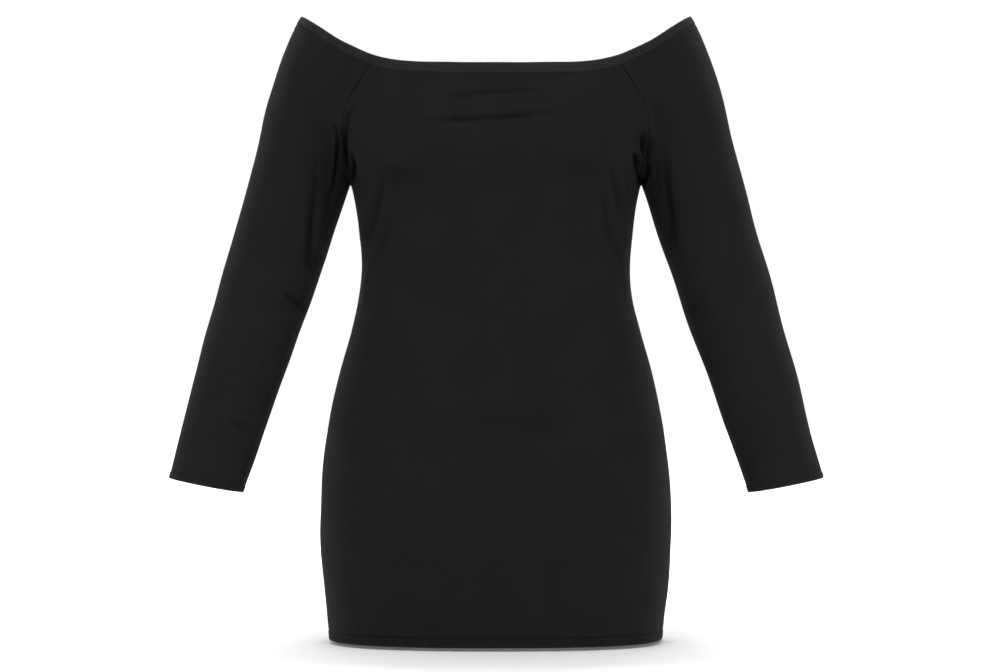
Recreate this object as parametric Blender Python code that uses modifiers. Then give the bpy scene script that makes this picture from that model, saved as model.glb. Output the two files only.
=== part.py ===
"""Off-the-shoulder bodycon mini dress with long raglan sleeves, filled out as worn, with no wearer.

Metres, +Z up, the front of the dress faces -Y. The origin is in the middle of the neck opening, level with
the top edge of the front neckline, where the band holds the dress on a wearer's chest and upper arms.
"""

from types import SimpleNamespace

import bmesh
import bpy
import numpy as np
from mathutils import Vector

# Heights of the skirt's hem, the underarm and the middle of the cuff, and how steeply the cuff slants up
HEM_Z = -0.6810
ARMPIT_Z = -0.1370
CUFF_Z = -0.4960
CUFF_SLOPE = 0.196

# Cloth, with the band and the turned edges that stand a little proud of it
CLOTH = 0.0015
BAND_CLOTH = 0.0024
BAND_HEIGHT = 0.0120
BAND_PROUD = 0.0004
HEM_TURN = 0.0110
CUFF_TURN = 0.0080
TURN_PROUD = 0.0006
TURN_SHOULDER = 0.80
STITCH_DIP = 0.0005
STITCH_SHARE = 0.12
SEAM_GAP = 0.0003
JERSEY_COLOUR = (0.014, 0.014, 0.0148, 1.0)
JERSEY_ROUGHNESS = 0.78

# The back neckline stands a little higher than the front's, which rises to a tip on each upper arm
BACK_NECK_RISE = 0.004
TIP_X = 0.2334

# Torso under the cloth, one row for each level section
TORSO_COLUMNS = ("height", "half_width", "front", "back", "squareness")
TORSO_SECTIONS = (
    (0.080, 0.1700, 0.098, 0.104, 2.15),
    (0.040, 0.1760, 0.106, 0.109, 2.15),
    (0.000, 0.1840, 0.116, 0.114, 2.20),
    (-0.045, 0.1920, 0.124, 0.119, 2.25),
    (-0.087, 0.1940, 0.128, 0.120, 2.30),
    (-0.115, 0.1870, 0.128, 0.117, 2.30),
    (-0.137, 0.1745, 0.127, 0.113, 2.30),
    (-0.155, 0.1697, 0.124, 0.109, 2.30),
    (-0.191, 0.1638, 0.117, 0.102, 2.30),
    (-0.236, 0.1606, 0.111, 0.098, 2.30),
    (-0.275, 0.1638, 0.111, 0.103, 2.30),
    (-0.310, 0.1724, 0.113, 0.112, 2.30),
    (-0.360, 0.1868, 0.119, 0.127, 2.35),
    (-0.420, 0.1996, 0.124, 0.141, 2.35),
    (-0.480, 0.2073, 0.128, 0.147, 2.40),
    (-0.540, 0.2103, 0.130, 0.144, 2.40),
    (-0.620, 0.2060, 0.132, 0.134, 2.40),
    (-0.681, 0.1994, 0.133, 0.126, 2.40),
)

# Arm under the sleeve, level sections of the slanting arm
ARM_COLUMNS = ("height", "outer_edge", "half_width", "middle_y", "half_depth")
ARM_SECTIONS = (
    (0.085, 0.2180, 0.0620, 0.000, 0.0600),
    (0.064, 0.2334, 0.0620, 0.000, 0.0640),
    (0.046, 0.2437, 0.0625, 0.000, 0.0670),
    (0.027, 0.2519, 0.0630, 0.000, 0.0690),
    (0.008, 0.2590, 0.0635, 0.000, 0.0700),
    (-0.035, 0.2721, 0.0640, 0.000, 0.0680),
    (-0.083, 0.2835, 0.0635, 0.000, 0.0630),
    (-0.137, 0.2970, 0.06125, 0.000, 0.0580),
    (-0.155, 0.3022, 0.0605, 0.000, 0.0570),
    (-0.227, 0.3226, 0.0588, -0.001, 0.0540),
    (-0.299, 0.3429, 0.0565, -0.004, 0.0505),
    (-0.371, 0.3616, 0.0529, -0.010, 0.0460),
    (-0.443, 0.3791, 0.0492, -0.019, 0.0400),
    (-0.520, 0.3973, 0.0456, -0.031, 0.0345),
)

# Height of the neckline's top edge over the distance from the middle, seen from the front
NECKLINE_COLUMNS = ("from_middle", "height")
NECKLINE = (
    (0.000, 0.0000),
    (0.050, 0.0003),
    (0.095, 0.0016),
    (0.122, 0.0054),
    (0.148, 0.0127),
    (0.167, 0.0213),
    (0.187, 0.0316),
    (0.206, 0.0445),
    (0.227, 0.0589),
    (0.250, 0.0745),
)

# The raglan seam's distance from the middle, in front and behind, and how softly torso and arm run together
RAGLAN_COLUMNS = ("height", "front_x", "back_x", "softness")
RAGLAN = (
    (-0.1371, 0.1745, 0.1745, 0.0002),
    (-0.1263, 0.1767, 0.1767, 0.0040),
    (-0.1094, 0.1794, 0.1790, 0.0100),
    (-0.0868, 0.1820, 0.1805, 0.0240),
    (-0.0661, 0.1810, 0.1785, 0.0340),
    (-0.0428, 0.1744, 0.1715, 0.0450),
    (-0.0219, 0.1630, 0.1600, 0.0550),
    (-0.0010, 0.1494, 0.1460, 0.0620),
    (0.0200, 0.1360, 0.1330, 0.0660),
)

# Bust cups: a rounded fullness of the front panel on each side
BUST_X = 0.084
BUST_Z = -0.092
BUST_FULLNESS = 0.020
BUST_HALF_WIDTH = 0.062
BUST_RISE = 0.075
BUST_DROP = 0.045

# The largest creases: those that show in front, then like ones behind. Places are (x, z) seen from the front
FOLD_COLUMNS = ("side", "start", "middle", "end", "half_width", "depth")
FOLDS = (
    ("front", (-0.060, -0.0405), (0.000, -0.0370), (0.058, -0.0350), 0.0090, 0.0028),
    ("front", (-0.086, -0.0690), (-0.010, -0.0650), (0.060, -0.0625), 0.0100, 0.0042),
    ("front", (-0.128, -0.1400), (-0.144, -0.1930), (-0.154, -0.2460), 0.0110, 0.0046),
    ("front", (0.110, -0.1330), (0.132, -0.2020), (0.154, -0.2420), 0.0110, 0.0042),
    ("front", (-0.156, -0.0520), (-0.166, -0.0900), (-0.165, -0.1300), 0.0090, 0.0050),
    ("front", (0.162, -0.0620), (0.169, -0.1000), (0.165, -0.1300), 0.0090, 0.0048),
    ("front", (-0.209, -0.0480), (-0.2125, -0.1475), (-0.219, -0.2380), 0.0120, 0.0050),
    ("front", (0.196, -0.0440), (0.2110, -0.1100), (0.216, -0.2000), 0.0120, 0.0048),
    ("front", (-0.256, -0.2580), (-0.2420, -0.2740), (-0.229, -0.2880), 0.0110, 0.0044),
    ("front", (0.256, -0.2580), (0.2420, -0.2740), (0.230, -0.2890), 0.0110, 0.0040),
    ("back", (-0.160, -0.0560), (-0.167, -0.0920), (-0.165, -0.1290), 0.0100, 0.0046),
    ("back", (0.156, -0.0500), (0.166, -0.0880), (0.165, -0.1290), 0.0100, 0.0048),
    ("back", (-0.132, -0.1400), (-0.140, -0.1900), (-0.150, -0.2350), 0.0120, 0.0040),
    ("back", (0.128, -0.1360), (0.142, -0.1850), (0.153, -0.2400), 0.0120, 0.0044),
    ("back", (-0.112, -0.2280), (-0.020, -0.2400), (0.070, -0.2330), 0.0120, 0.0046),
    ("back", (-0.050, -0.2620), (0.040, -0.2720), (0.118, -0.2600), 0.0120, 0.0036),
    ("back", (-0.206, -0.0520), (-0.214, -0.1400), (-0.222, -0.2300), 0.0120, 0.0044),
    ("back", (0.202, -0.0480), (0.212, -0.1300), (0.220, -0.2240), 0.0120, 0.0046),
    ("back", (-0.300, -0.2640), (-0.276, -0.2800), (-0.250, -0.2860), 0.0120, 0.0040),
    ("back", (0.304, -0.2620), (0.280, -0.2760), (0.252, -0.2880), 0.0120, 0.0038),
)

# Rows: those of a turned edge are shares of its height, those of the band are levels over the armpit
HEM_ROWS = (0.0, 0.35, 0.80, 1.0, 1.5)
CUFF_ROWS = (0.0, 0.40, 0.85, 1.0, 1.8)
BAND_ROWS = (1.0, 1.5, 2.0)
SKIRT_ROWS = 10
WAIST_Z = -0.2600
WAIST_ROWS = 11
SLEEVE_ROWS = 16
UPPER_ROWS = 15
UPPER_ROW_POWER = 1.25
FRONT_COLUMNS = 32
BACK_COLUMNS = 18
SLEEVE_COLUMNS = 18
BODY_CROWDING = 0.35
SLEEVE_CROWDING = 0.20
ROW_SAMPLES = 161

# A crease fades out where the cloth turns away from its side
FOLD_SAMPLES = 25
FACING_FROM = 0.05
FACING_FULL = 0.40

# Finding points on the cloth
SETTLE_STEPS = 8
SEAM_STEPS = 12
HALVINGS = 40
PROBE = 0.0002
MEETS = 0.00001
LEAST_STEEPNESS = 0.1
OUT_OF_REACH = 0.2
OVER_THE_TOP = 0.02
TINY = 0.000001
END_PULL = 10


def smooth_curve(knots, values):
    """A curve through a table's rows: cubic pieces, each row's slope taken from its two neighbours."""
    order = np.argsort(knots)
    knots = np.asarray(knots, float)[order]
    values = np.asarray(values, float)[order]
    slopes = np.gradient(values, knots)

    def at(place):
        place = np.clip(place, knots[0], knots[-1])
        left = np.clip(np.searchsorted(knots, place) - 1, 0, len(knots) - 2)
        span = knots[left + 1] - knots[left]
        t = (place - knots[left]) / span
        rise = values[left] * (1 + 2 * t) * (1 - t) ** 2 + values[left + 1] * t**2 * (3 - 2 * t)
        turn = slopes[left] * t * (1 - t) ** 2 + slopes[left + 1] * t**2 * (t - 1)
        return rise + span * turn

    return at


def table(columns, rows):
    """Each named column of a table as a smooth curve over its first column."""
    by_column = list(zip(*rows))
    return SimpleNamespace(**{
        name: smooth_curve(by_column[0], values) for name, values in zip(columns[1:], by_column[1:])
    })


torso = table(TORSO_COLUMNS, TORSO_SECTIONS)
arm = table(ARM_COLUMNS, ARM_SECTIONS)
neckline = table(NECKLINE_COLUMNS, NECKLINE)
raglan = table(RAGLAN_COLUMNS, RAGLAN)


def ease(low, high, value):
    """0 below low, 1 above high, and a smooth step between."""
    t = np.clip((value - low) / (high - low), 0, 1)
    return t * t * (3 - 2 * t)


def bust(x, z):
    """How far the front stands out over the plain torso, for the two bust cups."""
    height = np.where(z > BUST_Z, BUST_RISE, BUST_DROP)
    upright = np.exp(-(((z - BUST_Z) / height) ** 2))
    across = np.exp(-(((np.abs(x) - BUST_X) / BUST_HALF_WIDTH) ** 2))
    return BUST_FULLNESS * upright * across


def torso_distance(x, y, z):
    """Distance outside the torso, measured from its middle line."""
    depth = np.where(y < 0, torso.front(z) + bust(x, z), torso.back(z))
    n = torso.squareness(z)
    size = (np.abs(x / torso.half_width(z)) ** n + np.abs(y / depth) ** n) ** (1 / n)
    return np.hypot(x, y) * (1 - 1 / np.maximum(size, TINY))


def arm_middle(z):
    return arm.outer_edge(z) - arm.half_width(z), arm.middle_y(z)


def arm_distance(x, y, z):
    """Distance outside the nearer arm, measured from the arm's own middle."""
    middle_x, middle_y = arm_middle(z)
    across = np.abs(x) - middle_x
    along = y - middle_y
    size = np.hypot(across / arm.half_width(z), along / arm.half_depth(z))
    return np.hypot(across, along) * (1 - 1 / np.maximum(size, TINY))


def garment_distance(x, y, z):
    """Distance outside the cloth: torso and arms, run softly together above the armpit."""
    of_torso = torso_distance(x, y, z)
    of_arm = arm_distance(x, y, z)
    softness = np.maximum(raglan.softness(z), TINY)
    shared = np.clip(softness - np.abs(of_torso - of_arm), 0, None)
    return np.minimum(of_torso, of_arm) - shared**2 / (4 * softness)


def settled(x, y, height, distance):
    """Moves points square to their level section's outline until they lie on it, at the height that a rule gives."""
    for _ in range(SETTLE_STEPS):
        z = height(x, y)
        here = distance(x, y, z)
        slope_x = (distance(x + PROBE, y, z) - here) / PROBE
        slope_y = (distance(x, y + PROBE, z) - here) / PROBE
        steepness = np.maximum(slope_x**2 + slope_y**2, LEAST_STEEPNESS)
        x = x - here * slope_x / steepness
        y = y - here * slope_y / steepness
    return np.stack([x, y, height(x, y)], axis=-1)


def neck_edge(x, face):
    """Height of the neckline's top edge."""
    rise = BACK_NECK_RISE * np.clip(1 - (x / TIP_X) ** 2, 0, None) if face > 0 else 0.0
    return neckline.height(np.abs(x)) + rise


def height_above_armpit(level, x, face):
    """Height at a level: 0 is the armpit, 1 the band's seam and 2 the neckline's top edge."""
    seam = neck_edge(x, face) - BAND_HEIGHT
    low_part = ARMPIT_Z + (seam - ARMPIT_Z) * np.clip(level, 0, 1)
    return low_part + BAND_HEIGHT * np.clip(level - 1, 0, 1)


def raglan_seam(levels, face):
    """Points of the raglan seam on the +X side, in front (face -1) or behind (face 1), one for each level."""
    seam_x = raglan.front_x if face < 0 else raglan.back_x
    z = np.full(levels.shape, ARMPIT_Z)
    for _ in range(SEAM_STEPS):
        x = seam_x(z)
        z = height_above_armpit(levels, x, face)
    inside = np.zeros(levels.shape)
    outside = np.full(levels.shape, OUT_OF_REACH)
    for _ in range(HALVINGS):
        y = (inside + outside) / 2
        in_cloth = garment_distance(x, face * y, z) < 0
        inside = np.where(in_cloth, y, inside)
        outside = np.where(in_cloth, outside, y)
    y = np.where(levels > 0, face * y, 0.0)
    return np.stack([x, y, z], axis=-1)


def evenly(rows, shares):
    """Points at the given shares of each row's length."""
    out = []
    for row in rows:
        steps = np.linalg.norm(np.diff(row, axis=0), axis=1)
        run = np.concatenate([[0.0], np.cumsum(steps)])
        out.append(np.stack([np.interp(shares * run[-1], run, row[:, i]) for i in range(3)], axis=1))
    return np.array(out).reshape(len(rows), len(shares), 3)


def column_shares(columns, crowding):
    """Shares of a row's length for its columns, closer together towards both ends."""
    t = np.linspace(0, 1, columns + 1)
    return (1 - crowding) * t + crowding * (1 - np.cos(np.pi * t)) / 2


def torso_outline(bearing, face, z):
    """The plain torso's outline: bearing is the share of a quarter turn from the middle of the front or back."""
    depth = torso.front(z) if face < 0 else torso.back(z)
    power = 2 / torso.squareness(z)
    turn = bearing * np.pi / 2
    x = torso.half_width(z) * np.sign(turn) * np.abs(np.sin(turn)) ** power
    return x, face * depth * np.abs(np.cos(turn)) ** power


def body_rows(face, heights, levels, columns):
    """The front or back panel: rows of points from the -X side to the +X side."""
    shares = column_shares(columns, BODY_CROWDING)
    spread = np.linspace(-1, 1, ROW_SAMPLES)[None, :]
    low_z = np.reshape(heights, (-1, 1)) + 0 * spread
    x, y = torso_outline(spread, face, low_z)
    low = evenly(settled(x, y, lambda *_: low_z, torso_distance), shares)

    def rule(x, _):
        return height_above_armpit(levels[:, None], x, face)

    seam_x, seam_y, seam_z = np.moveaxis(raglan_seam(levels, face), -1, 0)[..., None]
    across = np.clip(seam_x / torso.half_width(seam_z), 0, 1)
    end = np.arcsin(across ** (torso.squareness(seam_z) / 2)) * 2 / np.pi
    z = seam_z + 0 * spread
    for _ in range(SETTLE_STEPS):
        x, y = torso_outline(spread * end, face, z)
        z = rule(x, y)
    pull = np.abs(spread) ** END_PULL
    x = x + (seam_x * np.sign(spread) - x) * pull
    y = y + (seam_y - y) * pull
    return np.concatenate([low, evenly(settled(x, y, rule, garment_distance), shares)])


def arm_outline(turn, z):
    """The arm's outline, turn 0 at the outside and -90 degrees at the front."""
    middle_x, middle_y = arm_middle(z)
    return middle_x + arm.half_width(z) * np.cos(turn), middle_y + arm.half_depth(z) * np.sin(turn)


def arm_turn(points):
    """The turn round the arm at which each point lies, from -180 to 180 degrees."""
    x, y, z = np.moveaxis(points, -1, 0)
    middle_x, middle_y = arm_middle(z)
    return np.arctan2((y - middle_y) / arm.half_depth(z), (x - middle_x) / arm.half_width(z))[:, None]


def sleeve_rows(side, steps, levels, columns):
    """The sleeve on the side 1 (+X) or -1: rows from the underarm or front seam, round the outside, to the back."""
    shares = column_shares(columns, SLEEVE_CROWDING)
    spread = np.linspace(0, 1, ROW_SAMPLES)[None, :]
    step = np.reshape(steps, (-1, 1))
    base = CUFF_Z + (ARMPIT_Z - CUFF_Z) * step

    def slant(x, _):
        return base + CUFF_SLOPE * (1 - step) * (x - arm_middle(base)[0])

    def rule(x, y):
        front = height_above_armpit(levels[:, None], x, -1)
        back = height_above_armpit(levels[:, None], x, 1)
        return front + ease(-OVER_THE_TOP, OVER_THE_TOP, y) * (back - front)

    z = base + 0 * spread
    for _ in range(SETTLE_STEPS):
        x, y = arm_outline(np.pi * (2 * spread - 1), z)
        z = slant(x, y)
    low = evenly(settled(x, y, slant, arm_distance), shares)

    in_front, behind = raglan_seam(levels, -1), raglan_seam(levels, 1)
    start, stop = arm_turn(in_front), arm_turn(behind)
    start = np.where(start > 0, start - 2 * np.pi, start)
    stop = np.where(stop <= 0, stop + 2 * np.pi, stop)
    z = in_front[:, 2:] + 0 * spread
    for _ in range(SETTLE_STEPS):
        x, y = arm_outline(start + (stop - start) * spread, z)
        z = rule(x, y)
    for seam, pull in ((in_front, (1 - spread) ** END_PULL), (behind, spread**END_PULL)):
        x = x + (seam[:, :1] - x) * pull
        y = y + (seam[:, 1:2] - y) * pull
    rows = np.concatenate([low, evenly(settled(x, y, rule, garment_distance), shares)])
    rows[..., 0] *= side
    return rows


def outward(rows, flip):
    """Unit normals of a grid of points, the same on both sides of a row that closes on itself."""
    along = np.gradient(rows, axis=1)
    up = np.gradient(rows, axis=0)
    normals = np.cross(along, up) * (-1 if flip else 1)
    normals = normals / np.linalg.norm(normals, axis=-1, keepdims=True)
    closed = np.linalg.norm(rows[:, 0] - rows[:, -1], axis=-1) < MEETS
    shared = normals[closed, 0] + normals[closed, -1]
    normals[closed, 0] = normals[closed, -1] = shared / np.linalg.norm(shared, axis=-1, keepdims=True)
    return normals


def fold_depth(points, normals):
    """How far each point sinks into the creases on its side of the dress."""
    depth = np.zeros(points.shape[:-1])
    faces = {"front": -1, "back": 1}
    share = np.linspace(0, 1, FOLD_SAMPLES)
    t = share[:, None]
    for row in FOLDS:
        fold = SimpleNamespace(**dict(zip(FOLD_COLUMNS, row)))
        start, middle, end = np.array(fold.start), np.array(fold.middle), np.array(fold.end)
        bend = 2 * middle - (start + end) / 2
        line = start * (1 - t) ** 2 + bend * 2 * t * (1 - t) + end * t**2
        gaps = np.hypot(points[..., 0, None] - line[:, 0], points[..., 2, None] - line[:, 1])
        taper = np.sqrt(np.sin(np.pi * share))[gaps.argmin(axis=-1)]
        trough = np.exp(-((gaps.min(axis=-1) / fold.half_width) ** 2))
        facing = ease(FACING_FROM, FACING_FULL, faces[fold.side] * normals[..., 1])
        depth += fold.depth * taper * trough * facing
    return depth


def turned_edge(from_edge, turn):
    """Height of a turned-up edge over the cloth: proud up to its stitching, which dips in."""
    proud = TURN_PROUD * (1 - ease(TURN_SHOULDER * turn, turn, from_edge))
    dip = STITCH_DIP * np.exp(-(((from_edge - turn) / (STITCH_SHARE * turn)) ** 2))
    return proud - dip


def formed(rows, flip, lift=0.0):
    """The rows moved in at the creases and out by their lift."""
    normals = outward(rows, flip)
    lift = lift - fold_depth(rows, normals)
    return rows + normals * lift[..., None]


def cloth_object(name, rows, flip, thickness, collection):
    """One piece of cloth: a grid bent to the rows, joined where it closes, drawn in at its edges, with a wall."""
    bm = bmesh.new()
    bmesh.ops.create_grid(bm, x_segments=rows.shape[1] - 1, y_segments=rows.shape[0] - 1, size=1)
    for vert, point in zip(bm.verts, rows.reshape(-1, 3)):
        vert.co = point
    if flip:
        bmesh.ops.reverse_faces(bm, faces=bm.faces)
    bmesh.ops.remove_doubles(bm, verts=bm.verts, dist=MEETS)
    draw_in_edges(bm, SEAM_GAP / 2)
    mesh = bpy.data.meshes.new(name)
    bm.to_mesh(mesh)
    bm.free()
    mesh.shade_smooth()
    mesh.materials.append(jersey(name))
    piece = bpy.data.objects.new(name, mesh)
    collection.objects.link(piece)
    wall = piece.modifiers.new("wall", "SOLIDIFY")
    wall.thickness = thickness
    wall.offset = -1


def draw_in_edges(bm, distance):
    """Moves each edge of an open sheet into the sheet, square to the edge, to leave the gap at a seam."""
    moves = {}
    for vert in bm.verts:
        rim = [edge.other_vert(vert).co for edge in vert.link_edges if edge.is_boundary]
        if rim:
            along = (rim[0] - rim[-1]).normalized()
            centres = [face.calc_center_median() - vert.co for face in vert.link_faces]
            inward = sum(centres, Vector())
            inward = inward - along * inward.dot(along)
            moves[vert] = inward.normalized() * distance
    for vert, move in moves.items():
        vert.co += move


def jersey(name):
    """Matt black double-knit jersey."""
    material = bpy.data.materials.new(name)
    material.use_nodes = True
    shader = material.node_tree.nodes["Principled BSDF"]
    shader.inputs["Base Color"].default_value = JERSEY_COLOUR
    shader.inputs["Roughness"].default_value = JERSEY_ROUGHNESS
    shader.inputs["Metallic"].default_value = 0.0
    return material


def build():
    """The five pieces: front, back, two sleeves and the neck band."""
    for old in list(bpy.data.objects):
        bpy.data.objects.remove(old)
    dress = bpy.data.collections.new("bodycon_dress")
    bpy.context.scene.collection.children.link(dress)

    hem_heights = HEM_Z + HEM_TURN * np.array(HEM_ROWS)
    skirt_heights = np.linspace(hem_heights[-1], WAIST_Z, SKIRT_ROWS + 1)[1:]
    waist_heights = np.linspace(WAIST_Z, ARMPIT_Z, WAIST_ROWS + 1)[1:-1]
    heights = np.concatenate([hem_heights, skirt_heights, waist_heights])
    levels = (np.arange(UPPER_ROWS + 1) / UPPER_ROWS) ** UPPER_ROW_POWER
    cuff_steps = CUFF_TURN * np.array(CUFF_ROWS) / (ARMPIT_Z - CUFF_Z)
    sleeve_steps = np.concatenate([cuff_steps, np.linspace(cuff_steps[-1], 1, SLEEVE_ROWS + 1)[1:-1]])
    band_levels = np.array(BAND_ROWS)
    none = np.array([])

    for name, face, columns in (("front_panel", -1, FRONT_COLUMNS), ("back_panel", 1, BACK_COLUMNS)):
        rows = body_rows(face, heights, levels, columns)
        lift = turned_edge(rows[..., 2] - HEM_Z, HEM_TURN)
        cloth_object(name, formed(rows, face > 0, lift), face > 0, CLOTH, dress)
    for name, side in (("sleeve_left", 1), ("sleeve_right", -1)):
        rows = sleeve_rows(side, sleeve_steps, levels, SLEEVE_COLUMNS)
        lift = np.zeros(rows.shape[:-1])
        from_cuff = sleeve_steps * (ARMPIT_Z - CUFF_Z)
        lift[:len(from_cuff)] = turned_edge(from_cuff, CUFF_TURN)[:, None]
        cloth_object(name, formed(rows, side < 0, lift), side < 0, CLOTH, dress)
    ring = np.concatenate([
        body_rows(-1, none, band_levels, FRONT_COLUMNS),
        sleeve_rows(1, none, band_levels, SLEEVE_COLUMNS)[:, 1:],
        body_rows(1, none, band_levels, BACK_COLUMNS)[:, -2::-1],
        sleeve_rows(-1, none, band_levels, SLEEVE_COLUMNS)[:, -2::-1],
    ], axis=1)
    cloth_object("neck_band", formed(ring, False, BAND_PROUD), False, BAND_CLOTH, dress)


build()
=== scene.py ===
"""Black off-the-shoulder bodycon mini dress with long raglan sleeves, filled out as worn, with no wearer.

Metres, but millimetres in the tables of creases. +Z up, the front faces -Y, and the origin is in the middle
of the neck opening.
"""

from types import SimpleNamespace

import bmesh
import bpy
import numpy as np
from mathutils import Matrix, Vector


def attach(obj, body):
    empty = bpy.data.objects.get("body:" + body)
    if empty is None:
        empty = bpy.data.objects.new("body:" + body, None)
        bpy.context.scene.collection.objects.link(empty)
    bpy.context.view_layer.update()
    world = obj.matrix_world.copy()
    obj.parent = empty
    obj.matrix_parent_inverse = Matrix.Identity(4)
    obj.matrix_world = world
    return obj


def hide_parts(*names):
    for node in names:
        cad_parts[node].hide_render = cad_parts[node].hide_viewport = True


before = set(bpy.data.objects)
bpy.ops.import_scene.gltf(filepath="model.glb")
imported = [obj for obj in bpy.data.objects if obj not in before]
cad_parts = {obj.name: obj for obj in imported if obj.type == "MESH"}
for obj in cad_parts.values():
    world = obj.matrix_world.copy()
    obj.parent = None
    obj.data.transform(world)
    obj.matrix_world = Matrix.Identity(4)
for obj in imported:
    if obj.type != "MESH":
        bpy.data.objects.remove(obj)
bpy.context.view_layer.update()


# Front panel: one piece of black double-knit jersey from the neck band to the hem, sewn to the sleeves along
# the raglan seams and to the back along the side seams. Its hem is turned up once and held by two rows of
# stitches. It is filled out as worn, with the creases that the photo shows.
HEM_Z = -0.6810
ARMPIT_Z = -0.1370
WAIST_Z = -0.2600
BAND_HEIGHT = 0.0120
BACK_NECK_RISE = 0.004
TIP_X = 0.2334

TORSO_COLUMNS = ("height", "half_width", "front", "back", "squareness")
TORSO_SECTIONS = (
    (0.080, 0.1700, 0.098, 0.104, 2.15),
    (0.040, 0.1760, 0.106, 0.109, 2.15),
    (0.000, 0.1840, 0.116, 0.114, 2.20),
    (-0.045, 0.1920, 0.124, 0.119, 2.25),
    (-0.087, 0.1940, 0.128, 0.120, 2.30),
    (-0.115, 0.1870, 0.128, 0.117, 2.30),
    (-0.137, 0.1745, 0.127, 0.113, 2.30),
    (-0.155, 0.1697, 0.124, 0.109, 2.30),
    (-0.191, 0.1638, 0.117, 0.102, 2.30),
    (-0.236, 0.1606, 0.111, 0.098, 2.30),
    (-0.275, 0.1638, 0.111, 0.103, 2.30),
    (-0.310, 0.1724, 0.113, 0.112, 2.30),
    (-0.360, 0.1868, 0.119, 0.127, 2.35),
    (-0.420, 0.1996, 0.124, 0.141, 2.35),
    (-0.480, 0.2073, 0.128, 0.147, 2.40),
    (-0.540, 0.2103, 0.130, 0.144, 2.40),
    (-0.620, 0.2060, 0.132, 0.134, 2.40),
    (-0.681, 0.1994, 0.133, 0.126, 2.40),
)
ARM_COLUMNS = ("height", "outer_edge", "half_width", "middle_y", "half_depth")
ARM_SECTIONS = (
    (0.085, 0.2180, 0.0620, 0.000, 0.0600),
    (0.064, 0.2334, 0.0620, 0.000, 0.0640),
    (0.046, 0.2437, 0.0625, 0.000, 0.0670),
    (0.027, 0.2519, 0.0630, 0.000, 0.0690),
    (0.008, 0.2590, 0.0635, 0.000, 0.0700),
    (-0.035, 0.2721, 0.0640, 0.000, 0.0680),
    (-0.083, 0.2835, 0.0635, 0.000, 0.0630),
    (-0.137, 0.2970, 0.06125, 0.000, 0.0580),
    (-0.155, 0.3022, 0.0605, 0.000, 0.0570),
    (-0.227, 0.3226, 0.0588, -0.001, 0.0540),
    (-0.299, 0.3429, 0.0565, -0.004, 0.0505),
    (-0.371, 0.3616, 0.0529, -0.010, 0.0460),
    (-0.443, 0.3791, 0.0492, -0.019, 0.0400),
    (-0.520, 0.3973, 0.0456, -0.031, 0.0345),
)
NECKLINE_COLUMNS = ("from_middle", "height")
NECKLINE = (
    (0.000, 0.0000),
    (0.050, 0.0003),
    (0.095, 0.0016),
    (0.122, 0.0054),
    (0.148, 0.0127),
    (0.167, 0.0213),
    (0.187, 0.0316),
    (0.206, 0.0445),
    (0.227, 0.0589),
    (0.250, 0.0745),
)
RAGLAN_COLUMNS = ("height", "front_x", "back_x", "softness")
RAGLAN = (
    (-0.1371, 0.1745, 0.1745, 0.0002),
    (-0.1263, 0.1767, 0.1767, 0.0040),
    (-0.1094, 0.1794, 0.1790, 0.0100),
    (-0.0868, 0.1820, 0.1805, 0.0240),
    (-0.0661, 0.1810, 0.1785, 0.0340),
    (-0.0428, 0.1744, 0.1715, 0.0450),
    (-0.0219, 0.1630, 0.1600, 0.0550),
    (-0.0010, 0.1494, 0.1460, 0.0620),
    (0.0200, 0.1360, 0.1330, 0.0660),
)
BUST_X = 0.084
BUST_Z = -0.092
BUST_FULLNESS = 0.020
BUST_HALF_WIDTH = 0.062
BUST_RISE = 0.075
BUST_DROP = 0.045
BUST_BRIDGE = 0.020


def named(columns, rows):
    """A table's rows, each with its values by their columns' names."""
    return [SimpleNamespace(**dict(zip(columns, row))) for row in rows]


TINY = 0.000001


def unit(vectors):
    """The same directions at a length of 1."""
    return vectors / np.maximum(np.linalg.norm(vectors, axis=-1, keepdims=True), TINY)


def falloff(distance, width):
    """1 in the middle, falling softly away on both sides."""
    return np.exp(-((distance / width) ** 2))


def smooth_curve(knots, values):
    """A curve through a table's rows: cubic pieces, each row's slope taken from its two neighbours."""
    order = np.argsort(knots)
    knots = np.asarray(knots, float)[order]
    values = np.asarray(values, float)[order]
    slopes = np.gradient(values, knots)

    def at(place):
        place = np.clip(place, knots[0], knots[-1])
        left = np.clip(np.searchsorted(knots, place) - 1, 0, len(knots) - 2)
        span = knots[left + 1] - knots[left]
        t = (place - knots[left]) / span
        rise = values[left] * (1 + 2 * t) * (1 - t) ** 2 + values[left + 1] * t**2 * (3 - 2 * t)
        turn = slopes[left] * t * (1 - t) ** 2 + slopes[left + 1] * t**2 * (t - 1)
        return rise + span * turn

    return at


def table(columns, rows):
    """Each named column of a table as a smooth curve over its first column."""
    by_column = list(zip(*rows))
    return SimpleNamespace(**{
        name: smooth_curve(by_column[0], values) for name, values in zip(columns[1:], by_column[1:])
    })


torso = table(TORSO_COLUMNS, TORSO_SECTIONS)
arm = table(ARM_COLUMNS, ARM_SECTIONS)
neckline = table(NECKLINE_COLUMNS, NECKLINE)
raglan = table(RAGLAN_COLUMNS, RAGLAN)


def ease(low, high, value):
    """0 below low, 1 above high, and a smooth step between."""
    t = np.clip((value - low) / (high - low), 0, 1)
    return t * t * (3 - 2 * t)


def bust(x, z):
    """How far the front stands out over the plain torso, for the two bust cups and the cloth between them."""
    upright = falloff(z - BUST_Z, np.where(z > BUST_Z, BUST_RISE, BUST_DROP))
    return BUST_FULLNESS * upright * falloff(np.hypot(x, BUST_BRIDGE) - BUST_X, BUST_HALF_WIDTH)


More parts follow.
